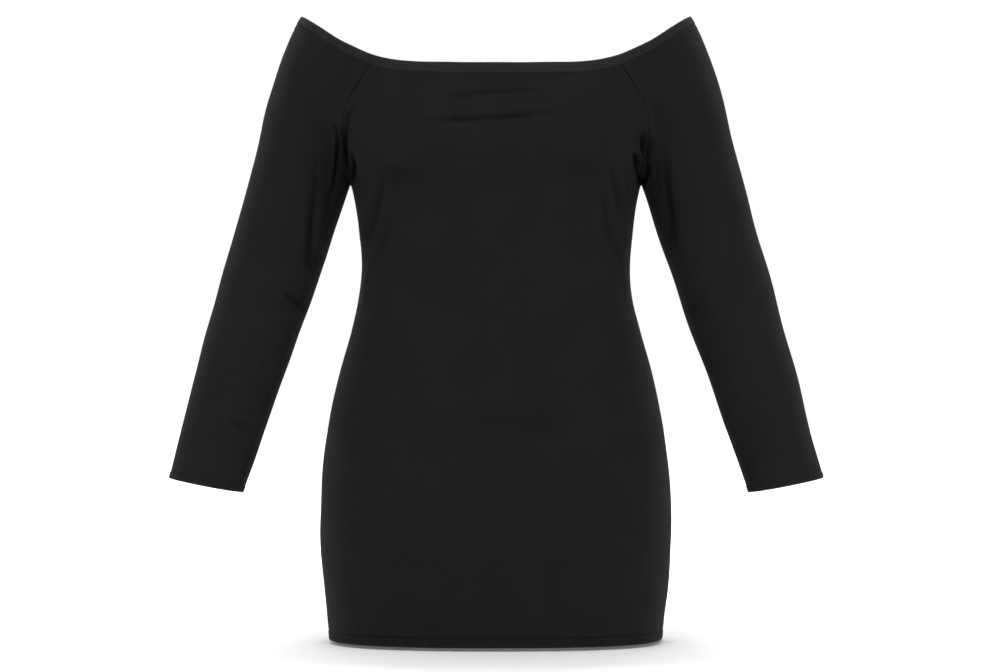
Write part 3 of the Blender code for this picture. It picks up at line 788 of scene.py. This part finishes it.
def jersey(name, slant, lightness, depth):
    """Matt black double-knit jersey: its face, or with no slant its purl side."""
    material, tree, shader = new_material(name)
    laid = add_node(tree, "ShaderNodeUVMap", uv_map="cloth").outputs["UV"]
    values = {"Place": laid, "Wale": WALE, "Course": COURSE, "Slant": slant}
    stitches = add_node(tree, "ShaderNodeGroup", values, node_tree=knit).outputs
    fibres = yarn_on(tree, JERSEY_CLOUDS, JERSEY_FIBRES)
    # Painted shade: darker in creases, seam grooves and stitch dips
    painted_shade = add_node(tree, "ShaderNodeAttribute", attribute_name="painted_shade").outputs["Fac"]
    # A lighter colour for wear along folds and seams, and painted light on the lower sleeves
    worn_and_painted_light = add_node(tree, "ShaderNodeAttribute", attribute_name="wear_and_painted_light").outputs["Fac"]
    changes = (
        (fibres["Tone"], YARN_TONE),
        (fibres["Fibre"], YARN_TONE),
        (stitches["Gap"], GAP_TONE),
        (painted_shade, PAINTED_SHADE_TONE),
    )
    tone = lightness
    for mask, change in changes:
        tone = maths(tree, "MULTIPLY", maths(tree, "MULTIPLY_ADD", mask, *change), tone)
    colour = mixed(tree, JERSEY_COLOUR, JERSEY_WORN_AND_PAINTED_LIGHT, maths(tree, "MULTIPLY", worn_and_painted_light, fibres["Fibre"]))
    height = maths(tree, "MULTIPLY_ADD", fibres["Fibre"], FIBRE_DEPTH, stitches["Height"])
    bump = add_node(tree, "ShaderNodeBump", {"Strength": KNIT_STRENGTH, "Distance": depth, "Height": height})
    set_inputs(tree, shader, {
        "Base Color": mixed(tree, colour, tone, 1.0, blend_type="MULTIPLY"),
        "Roughness": maths(tree, "MULTIPLY_ADD", fibres["Tone"], *JERSEY_ROUGHNESS),
        "Specular IOR Level": 0.05,
        "Sheen Weight": 0.021,
        "Sheen Roughness": 0.42,
        "Sheen Tint": JERSEY_SHEEN,
        "Normal": bump.outputs["Normal"],
    })
    return material


face_side = jersey("black jersey, face", FACE_SLANT, 1.0, KNIT_DEPTH)
purl_side = jersey("black jersey, purl side", 0.0, PURL_LIGHTNESS, PURL_DEPTH)


JERSEY = 0.0011
HEM_LAYER = 0.0012
# Painted shade in the dips under the hem's stitches and along the seams' grooves
HEM_DIP_PAINTED_SHADE = 0.50
SEAM_PAINTED_SHADE = 0.45
# A lighter colour for wear along the folds and beside the seams
FOLD_WEAR_WIDTH = 0.0022
SEAM_WEAR = 0.5
SEAM_WEAR_WIDTH = 0.0008
# Painted light: the lower sleeves turn lighter from 0.10 m to 0.32 m below the origin
PAINTED_LIGHT_FROM = -0.10
PAINTED_LIGHT_FULL = -0.32


def cut_and_sewn(name, rows, low_rows, low_distance, from_edge, edge, pressed, painted_light, flip):
    """A panel or sleeve from its plain form: creases, seams, pressed allowances, turned edge and wall, and
    its masks of painted shade, wear and painted light.
    """
    turn, dip, dip_painted_shade = edge
    below = np.arange(len(rows))[:, None, None] < low_rows
    square = np.where(below, square_out(rows, low_distance), square_out(rows, garment_distance))
    run = run_along(rows, 1)
    climb = run_along(rows, 0)
    from_side = np.minimum(run, run[:, -1:] - run)
    from_band = climb[-1:] - climb
    from_seams = np.minimum(from_side, from_band)
    seams = np.maximum(SEAM_GROOVE * groove(from_side), BAND_SEAM_GROOVE * groove(from_band))
    flat = (1 - over_allowance(from_side) * pressed) * (1 - over_allowance(from_band))
    folds, painted_shade = relief(rows, square)
    stands = folds + turned_edge(from_edge, turn, dip) + ALLOWANCE_RAISED * (1 - flat) - seams
    # Painted shade in the hem's stitch dips and the seams' grooves, besides that of the creases
    painted_shade = np.maximum(painted_shade, dip_painted_shade * stitch_dips(from_edge, turn))
    painted_shade = np.maximum(painted_shade, SEAM_PAINTED_SHADE * groove(from_side))
    rows = rows + square * stands[..., None]
    walls = JERSEY + HEM_LAYER * (1 - ease(turn - ALLOWANCE_EDGE, turn + ALLOWANCE_EDGE, from_edge))
    walls = walls + ALLOWANCE_INSIDE * over_allowance(from_seams)
    # Wear along the turned edge's fold and beside the side seams
    wear_and_painted_light = falloff(from_edge, FOLD_WEAR_WIDTH)
    wear_and_painted_light = wear_and_painted_light + SEAM_WEAR * falloff(from_side - SEAM_GROOVE_WIDTH * 2, SEAM_WEAR_WIDTH)
    # Painted light: the lower sleeves lighter towards the cuff
    wear_and_painted_light = wear_and_painted_light + painted_light * (1 - ease(PAINTED_LIGHT_FULL, PAINTED_LIGHT_FROM, rows[..., 2]))
    masks = {"wear_and_painted_light": wear_and_painted_light, "painted_shade": painted_shade}
    turned = int((from_edge[:, 0] < turn).sum())
    piece, inner = cloth(name, rows, square, from_seams, walls, flip, turned, masks)
    for material in (face_side, purl_side):
        piece.data.materials.append(material)
    return piece, rows, inner


# Places of the rows above the hem's fold and of the columns beside a seam, and how many lie between
HEM_FOLD = 0.0011
NEAR_HEM = (0.0, 0.0010, 0.0024, 0.0044, 0.0064, 0.0078, 0.0084, 0.0090, 0.0097, 0.0103, 0.0110, 0.0116,
            0.0124, 0.0142, 0.0170)
SKIRT_ROWS = 64
WAIST_ROWS = 50
NEAR_SEAM = (0.0, 0.0005, 0.0011, 0.0019, 0.0032, 0.0048, 0.0062, 0.0070, 0.0080)
SEAM_CROWDING = 0.62
FRONT_COLUMNS = 168


def hem_heights():
    """Heights of a panel's rows below the armpit: the hem's, the skirt's and the waist's."""
    hem = HEM_Z + HEM_FOLD + np.array(NEAR_HEM)
    skirt = np.linspace(hem[-1], WAIST_Z, SKIRT_ROWS + 1)[1:]
    waist = np.linspace(WAIST_Z, ARMPIT_Z, WAIST_ROWS + 1)[1:-1]
    return np.concatenate([hem, skirt, waist])


def body_panel(name, face, columns, pressed):
    """The front or the back: its form, creases, seams and hem, with a wall."""
    heights = hem_heights()
    rows = laid_out(body_rows(face, heights, seam_levels()), columns, NEAR_SEAM, SEAM_CROWDING)
    edge = (HEM_TURN, HEM_DIP, HEM_DIP_PAINTED_SHADE)
    from_hem = rows[..., 2] - HEM_Z
    return cut_and_sewn(name, rows, len(heights), torso_distance, from_hem, edge, pressed, 0.0, face > 0)


front_panel, front_rows, front_inner = body_panel("front_panel_cloth", -1, FRONT_COLUMNS, 0.0)
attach(front_panel, "root")
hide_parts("front_panel")


# Back panel: cut as the front, with a neckline 4 mm higher. The side seam allowances are pressed towards it,
# and the cloth gathers in soft folds at the small of the back.
BACK_COLUMNS = 132

back_panel, back_rows, back_inner = body_panel("back_panel_cloth", 1, BACK_COLUMNS, 1.0)
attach(back_panel, "root")
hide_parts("back_panel")


# Sleeves: long raglan sleeves, each one piece of the same jersey with one seam under the arm, from the neck
# band to a slanting cuff that is turned up 8 mm.
CUFF_Z = -0.4960
CUFF_SLOPE = 0.196
CUFF_TURN = 0.0080
CUFF_FOLD = 0.0011
CUFF_DIP = 0.0002
NEAR_CUFF = (0.0, 0.0010, 0.0022, 0.0034, 0.0042, 0.0048, 0.0054, 0.0060, 0.0068, 0.0074, 0.0080, 0.0086,
             0.0094, 0.0110, 0.0134)
SLEEVE_COLUMNS = 136
SLEEVE_ROWS = 124
# Painted light on the lower sleeves: how far their colour is mixed towards the lighter one
SLEEVE_PAINTED_LIGHT = 0.50
OVER_THE_TOP = 0.02


def arm_outline(turn, z):
    """The arm's outline, turn 0 at the outside and -90 degrees at the front."""
    middle_x, middle_y = arm_middle(z)
    return middle_x + arm.half_width(z) * np.cos(turn), middle_y + arm.half_depth(z) * np.sin(turn)


def arm_turn(points):
    """The turn round the arm at which each point lies, from -180 to 180 degrees."""
    x, y, z = np.moveaxis(points, -1, 0)
    middle_x, middle_y = arm_middle(z)
    return np.arctan2((y - middle_y) / arm.half_depth(z), (x - middle_x) / arm.half_width(z))[:, None]


def sleeve_rows(steps, levels):
    """The sleeve on the +X side: rows from the underarm or front seam, round the outside, to the back."""
    spread = np.linspace(0, 1, ROW_SAMPLES)[None, :]
    step = np.reshape(steps, (-1, 1))
    base = CUFF_Z + (ARMPIT_Z - CUFF_Z) * step

    def slant(x, _):
        return base + CUFF_SLOPE * (1 - step) * (x - arm_middle(base)[0])

    def rule(x, y):
        front = height_above_armpit(levels[:, None], x, -1)
        back = height_above_armpit(levels[:, None], x, 1)
        return front + ease(-OVER_THE_TOP, OVER_THE_TOP, y) * (back - front)

    z = base + 0 * spread
    for _ in range(SETTLE_STEPS):
        x, y = arm_outline(np.pi * (2 * spread - 1), z)
        z = slant(x, y)
    low = settled(x, y, slant, arm_distance)

    in_front, behind = raglan_seam(levels, -1), raglan_seam(levels, 1)
    start, stop = arm_turn(in_front), arm_turn(behind)
    start = np.where(start > 0, start - 2 * np.pi, start)
    stop = np.where(stop <= 0, stop + 2 * np.pi, stop)
    z = in_front[:, 2:] + 0 * spread
    for _ in range(SETTLE_STEPS):
        x, y = arm_outline(start + (stop - start) * spread, z)
        z = rule(x, y)
    for seam, pull in ((in_front, (1 - spread) ** END_PULL), (behind, spread**END_PULL)):
        x = x + (seam[:, :1] - x) * pull
        y = y + (seam[:, 1:2] - y) * pull
    return np.concatenate([low, settled(x, y, rule, garment_distance)])


def sleeve(name, side):
    """One sleeve, on the +X side (1) or its mirror image with creases of its own (-1)."""
    length = ARMPIT_Z - CUFF_Z
    cuff = (CUFF_FOLD + np.array(NEAR_CUFF)) / length
    steps = np.concatenate([cuff, np.linspace(cuff[-1], 1, SLEEVE_ROWS + 1)[1:-1]])
    low = len(steps)
    rows = laid_out(sleeve_rows(steps, seam_levels()), SLEEVE_COLUMNS, NEAR_SEAM, SEAM_CROWDING)
    rows[..., 0] *= side
    climb = run_along(rows[:, :1], 0)[low:, 0]
    from_cuff = np.concatenate([steps * length, length + climb - climb[0]])[:, None]
    from_cuff = from_cuff + np.zeros(rows.shape[:2])
    behind = np.linspace(0, 1, rows.shape[1]) > 0.5
    pressed = np.where(np.arange(len(rows))[:, None] < low, behind, 1.0)
    edge = (CUFF_TURN, CUFF_DIP, 0.0)
    return cut_and_sewn(name, rows, low, arm_distance, from_cuff, edge, pressed, SLEEVE_PAINTED_LIGHT, side < 0)


sleeve_left, left_rows, left_inner = sleeve("sleeve_left_cloth", 1)
sleeve_right, right_rows, right_inner = sleeve("sleeve_right_cloth", -1)
for piece, node in ((sleeve_left, "sleeve_left"), (sleeve_right, "sleeve_right")):
    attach(piece, "root")
    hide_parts(node)


# Neck band: a strip of the jersey folded over a flat elastic and sewn round the whole opening, which draws it
# into fine upright puckers. Its ends are joined at the middle of the back.
BAND_WALL = 0.0026
BAND_PROUD = 0.0007
BAND_SHOULDER = 0.0012
BAND_JOIN_GROOVE = 0.0005
BAND_LEVELS = (1.98, 1.90, 1.78, 1.62, 1.45, 1.30, 1.18, 1.10, 1.05, 1.0)
BAND_LIGHTNESS = 1.68
TOP_WEAR = 0.8
TOP_WEAR_WIDTH = 0.0016
PUCKER_COLUMNS = ("length", "height", "drift", "drift_length")
PUCKERS = (
    (0.0042, 0.00030, 0.9, 0.061),
    (0.0067, 0.00034, 1.3, 0.043),
    (0.0113, 0.00026, 1.1, 0.087),
)
PUCKER_STRENGTHS = (0.55, 0.45, 0.190, 0.7)
PUCKER_LEVELS = (1.0, 1.15, 1.6, 1.95)
NO_SEAM = (0.0,)
RING_COLUMNS = 1240

none = np.array([])
band_levels = np.array(BAND_LEVELS)
front_ring = body_rows(-1, none, band_levels)
back_ring = body_rows(1, none, band_levels)[:, -2::-1]
left_ring = sleeve_rows(none, band_levels)
right_ring = (left_ring * (-1, 1, 1))[:, -2::-1]
ring = np.concatenate([front_ring, left_ring[:, 1:], back_ring, right_ring], axis=1)
start = front_ring.shape[1] + left_ring.shape[1] - 1 + back_ring.shape[1] // 2
ring = laid_out(np.concatenate([ring[:, start:-1], ring[:, :start + 1]], axis=1), RING_COLUMNS, NO_SEAM, 0.0)
ring_square = square_out(ring, garment_distance)
around = run_along(ring, 1)
round_band = around[len(around) // 2]
level = band_levels[:, None] + 0 * around
puckered = np.zeros(around.shape)
for pucker in named(PUCKER_COLUMNS, PUCKERS):
    turn = 2 * np.pi * round_band / pucker.length
    drift = pucker.drift * np.sin(2 * np.pi * round_band / pucker.drift_length)
    puckered += pucker.height * np.sin(turn + drift)
least, most, strength_length, strength_phase = PUCKER_STRENGTHS
puckered *= least + most * np.sin(2 * np.pi * round_band / strength_length + strength_phase)
flat_below, full_from, full_to, flat_above = PUCKER_LEVELS
puckered *= ease(flat_below, full_from, level) * (1 - ease(full_to, flat_above, level))
from_join = np.minimum(around, around[:, -1:] - around)
from_panels = BAND_HEIGHT * (level - 1)
dips = BAND_SEAM_GROOVE * groove(from_panels) + BAND_JOIN_GROOVE * groove(from_join)
# Painted shade in the band's creases, as on the panels
ring_folds, ring_painted_shade = relief(ring, ring_square)
ring_stands = ring_folds + BAND_PROUD * ease(0, BAND_SHOULDER, from_panels) + puckered - dips
ring = ring + ring_square * ring_stands[..., None]
ring_wear = TOP_WEAR * falloff((2 - level) * BAND_HEIGHT, TOP_WEAR_WIDTH)
ring_masks = {"wear_and_painted_light": ring_wear, "painted_shade": ring_painted_shade}
band_walls = np.full(around.shape, BAND_WALL)
neck_band, _ = cloth(
    "neck_band_cloth", ring, ring_square, from_panels, band_walls, True, len(ring), ring_masks
)
stretched = jersey("black jersey stretched over elastic", FACE_SLANT, BAND_LIGHTNESS, KNIT_DEPTH)
neck_band.data.materials.append(stretched)
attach(neck_band, "root")
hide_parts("neck_band")


# Stitches: black polyester thread in two rows round the hem and round each cuff, made with a twin needle, and
# the overlocked edges of the seam allowances inside.
THREAD_COLOUR = (0.0060, 0.0060, 0.0066, 1.0)
THREAD_CLOUDS = 60.0
THREAD_FIBRES = 2600.0
THREAD_TWIST = 0.00006
THREAD_RADIUS = 0.00026
THREAD_SIDES = 6
THREAD_RINGS = 5
HALF_LENGTHS = (0.44, 0.54)
STITCH_SEED = 7
STITCH_LENGTH = 0.0023
STITCH_PITCH = 0.0029
OVERLOCK_LENGTH = 0.0036
OVERLOCK_PITCH = 0.0021
OVERLOCK_SLANT = 0.35
OVERLOCK_FROM = 3
SINK = 0.2

thread, tree, shader = new_material("black thread")
fibres = yarn_on(tree, THREAD_CLOUDS, THREAD_FIBRES)
bump = add_node(tree, "ShaderNodeBump", {"Distance": THREAD_TWIST, "Height": fibres["Fibre"]})
set_inputs(tree, shader, {
    "Base Color": mixed(tree, JERSEY_COLOUR, THREAD_COLOUR, fibres["Fibre"]),
    "Roughness": 0.55,
    "Specular IOR Level": 0.20,
    "Normal": bump.outputs["Normal"],
})


def stitch_tree():
    """Geometry Nodes: a rounded stitch of thread at each pitch along a line, lying as its points say."""
    tree, given, result, sockets = new_group(
        "thread stitches", "GeometryNodeTree",
        {"Line": "Geometry", "Pitch": "Float", "Length": "Float", "Thread Radius": "Float",
         "Thread": "Material"},
        {"Stitches": "Geometry"},
    )
    radius = given["Thread Radius"]
    path = add_node(tree, "GeometryNodeMeshToCurve", {0: given["Line"]}).outputs[0]
    spaced = add_node(
        tree, "GeometryNodeResampleCurve", {"Curve": path, "Length": given["Pitch"]}, mode="LENGTH"
    )
    lies = add_node(tree, "GeometryNodeInputNamedAttribute", {"Name": "lies"}, data_type="FLOAT_VECTOR")
    turned = add_node(
        tree, "FunctionNodeAlignRotationToVector", {"Vector": lies.outputs["Attribute"]}, axis="Z"
    )
    values = {"Segments": THREAD_SIDES, "Rings": THREAD_RINGS, "Radius": 1.0}
    one = add_node(tree, "GeometryNodeMeshUVSphere", values)
    shortest, longest = HALF_LENGTHS
    values = {2: shortest, 3: longest, "Seed": STITCH_SEED}
    half_length = add_node(tree, "FunctionNodeRandomValue", values).outputs[1]
    half = maths(tree, "MULTIPLY", given["Length"], half_length)
    size = add_node(tree, "ShaderNodeCombineXYZ", {"X": radius, "Y": radius, "Z": half})
    values = {"Points": spaced.outputs[0], "Instance": one.outputs["Mesh"], "Rotation": turned.outputs[0]}
    placed = add_node(tree, "GeometryNodeInstanceOnPoints", {**values, "Scale": size.outputs[0]})
    real = add_node(tree, "GeometryNodeRealizeInstances", {0: placed.outputs[0]})
    smooth = add_node(tree, "GeometryNodeSetShadeSmooth", {0: real.outputs[0]})
    values = {"Geometry": smooth.outputs[0], "Material": given["Thread"]}
    set_inputs(tree, result, {0: add_node(tree, "GeometryNodeSetMaterial", values).outputs[0]})
    return tree, sockets


stitching, stitch_inputs = stitch_tree()


def sewn(name, lines, across, pitch, length):
    """Stitches on lines of points with their outward directions: along a line, or across it on an edge."""
    points, edges, lies = [], [], []
    for line, square in lines:
        ahead = unit(np.gradient(line, axis=0))
        first = len(points)
        points += [tuple(p) for p in line + square * THREAD_RADIUS * SINK]
        lies += list(np.cross(ahead, square) + ahead * OVERLOCK_SLANT if across else ahead)
        edges += [(i, i + 1) for i in range(first, len(points) - 1)]
    mesh = bpy.data.meshes.new(name)
    mesh.from_pydata(points, edges, [])
    attribute = mesh.attributes.new("lies", "FLOAT_VECTOR", "POINT")
    attribute.data.foreach_set("vector", np.array(lies).reshape(-1))
    piece = in_scene(name, mesh)
    modifier = piece.modifiers.new("stitches", "NODES")
    modifier.node_group = stitching
    values = {"Pitch": pitch, "Length": length, "Thread Radius": THREAD_RADIUS, "Thread": thread}
    for label, value in values.items():
        modifier[stitch_inputs[label]] = value
    made = bpy.data.meshes.new_from_object(piece.evaluated_get(bpy.context.evaluated_depsgraph_get()))
    piece.modifiers.clear()
    piece.data = made
    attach(piece, "root")
    return piece


def edge_rows(near, fold, turn):
    """The rows of points that lie under the two rows of stitches."""
    places = np.array(near) + fold
    return [int(np.abs(places - at).argmin()) for at in (turn, turn - TWIN_NEEDLE)]


hem_rows = edge_rows(NEAR_HEM, HEM_FOLD, HEM_TURN)
cuff_rows = edge_rows(NEAR_CUFF, CUFF_FOLD, CUFF_TURN)
allowance_column = int(np.abs(np.array(NEAR_SEAM) - ALLOWANCE).argmin())
stitched = {}
for node, rows, inner, rows_sewn, flip in (
    ("front_panel", front_rows, front_inner, hem_rows, False),
    ("back_panel", back_rows, back_inner, hem_rows, True),
    ("sleeve_left", left_rows, left_inner, cuff_rows, False),
    ("sleeve_right", right_rows, right_inner, cuff_rows, True),
):
    squares = outward(rows, flip)
    lines = [(rows[i], squares[i]) for i in rows_sewn]
    seam_from = max(rows_sewn) + OVERLOCK_FROM
    columns = (allowance_column, -1 - allowance_column)
    edge = [(inner[seam_from:, i], -squares[seam_from:, i]) for i in columns]
    stitched[node] = [sewn(node + "_stitches", lines, False, STITCH_PITCH, STITCH_LENGTH)]
    if node != "front_panel":
        stitched[node].append(sewn(node + "_overlock", edge, True, OVERLOCK_PITCH, OVERLOCK_LENGTH))


# Floor, light and camera: a plain white studio, with the camera where the photo was taken from. Away from the
# dress the camera sees the floor as bright paper.
FLOOR_GAP = 0.0040
FLOOR_HALF = 9.0
FLOOR_COLOUR = (0.90, 0.90, 0.90, 1.0)
FLOOR_GLOW = 0.045
PAPER_NEAR = 0.72
PAPER_FAR = 0.95
PAPER_ROUGHNESS = 0.9
WORLD_LIGHT = 0.445
LENS = 119.05
SENSOR = 36.0

floor_mesh = bpy.data.meshes.new("studio_floor")
corners = ((-1, -1), (1, -1), (1, 1), (-1, 1))
floor_corners = [(x * FLOOR_HALF, y * FLOOR_HALF, HEM_Z - FLOOR_GAP) for x, y in corners]
floor_mesh.from_pydata(floor_corners, [], [(0, 1, 2, 3)])
floor = in_scene("studio_floor", floor_mesh)
paper, tree, shader = new_material("white studio paper")
place = add_node(tree, "ShaderNodeTexCoord").outputs["Object"]
from_dress = add_node(tree, "ShaderNodeVectorMath", {0: place}, operation="LENGTH").outputs["Value"]
values = {"Value": from_dress, "From Min": PAPER_NEAR, "From Max": PAPER_FAR, "To Min": 0.0, "To Max": 1.0}
lit_far = add_node(tree, "ShaderNodeMapRange", values, interpolation_type="SMOOTHSTEP").outputs["Result"]
seen = add_node(tree, "ShaderNodeLightPath").outputs["Is Camera Ray"]
lit = maths(tree, "MAXIMUM", maths(tree, "MULTIPLY", lit_far, seen), FLOOR_GLOW)
set_inputs(tree, shader, {
    "Base Color": FLOOR_COLOUR, "Roughness": PAPER_ROUGHNESS, "Emission Strength": 1.0, "Emission Color": lit,
})
floor_mesh.materials.append(paper)

world = bpy.data.worlds.new("white studio")
world.use_nodes = True
tree = world.node_tree
seen = add_node(tree, "ShaderNodeLightPath").outputs["Is Camera Ray"]
bright = add_node(tree, "ShaderNodeMix", {"A": WORLD_LIGHT, "B": 1.0, "Factor": seen}).outputs["Result"]
set_inputs(tree, tree.nodes["Background"], {"Color": (1.0, 1.0, 1.0, 1.0), "Strength": bright})
bpy.context.scene.world = world

LIGHT_COLUMNS = ("name", "place", "size", "power")
LIGHTS = (
    ("softbox_overhead", (0.0, 0.0, 2.6), (2.4, 2.4), 26.0),
    ("softbox_top_front", (0.0, -1.5, 1.3), (1.6, 1.0), 18.4),
    ("softbox_behind", (0.0, 2.4, 2.2), (2.4, 1.2), 60.0),
    ("strip_front_left", (-1.8, -2.0, 0.6), (1.0, 2.0), 6.0),
    ("strip_left", (-2.4, -0.3, 0.2), (1.0, 2.2), 6.6),
    ("softbox_far_right", (3.2, -1.6, -0.2), (1.4, 1.4), 25.0),
    ("strip_behind_left", (-2.0, 1.8, 0.6), (1.0, 2.2), 13.6),
    ("strip_behind_right", (2.0, 1.8, 0.6), (1.0, 2.2), 13.4),
)
LIT = (0.0, 0.0, -0.30)
for light in named(LIGHT_COLUMNS, LIGHTS):
    lamp = bpy.data.lights.new(light.name, "AREA")
    lamp.shape = "RECTANGLE"
    lamp.size, lamp.size_y = light.size
    lamp.energy = light.power
    stand = in_scene(light.name, lamp)
    stand.location = light.place
    stand.rotation_euler = (Vector(LIT) - Vector(light.place)).to_track_quat("-Z", "Y").to_euler()

lens = bpy.data.cameras.new("camera")
lens.lens = LENS
lens.sensor_width = SENSOR
camera = in_scene("camera", lens)
camera.location = (VIEW_X, -VIEW_DISTANCE, VIEW_Z)
camera.rotation_euler = (np.pi / 2, 0, 0)
bpy.context.scene.camera = camera
bpy.context.scene.view_settings.view_transform = "Standard"
bpy.context.scene.view_settings.look = "None"
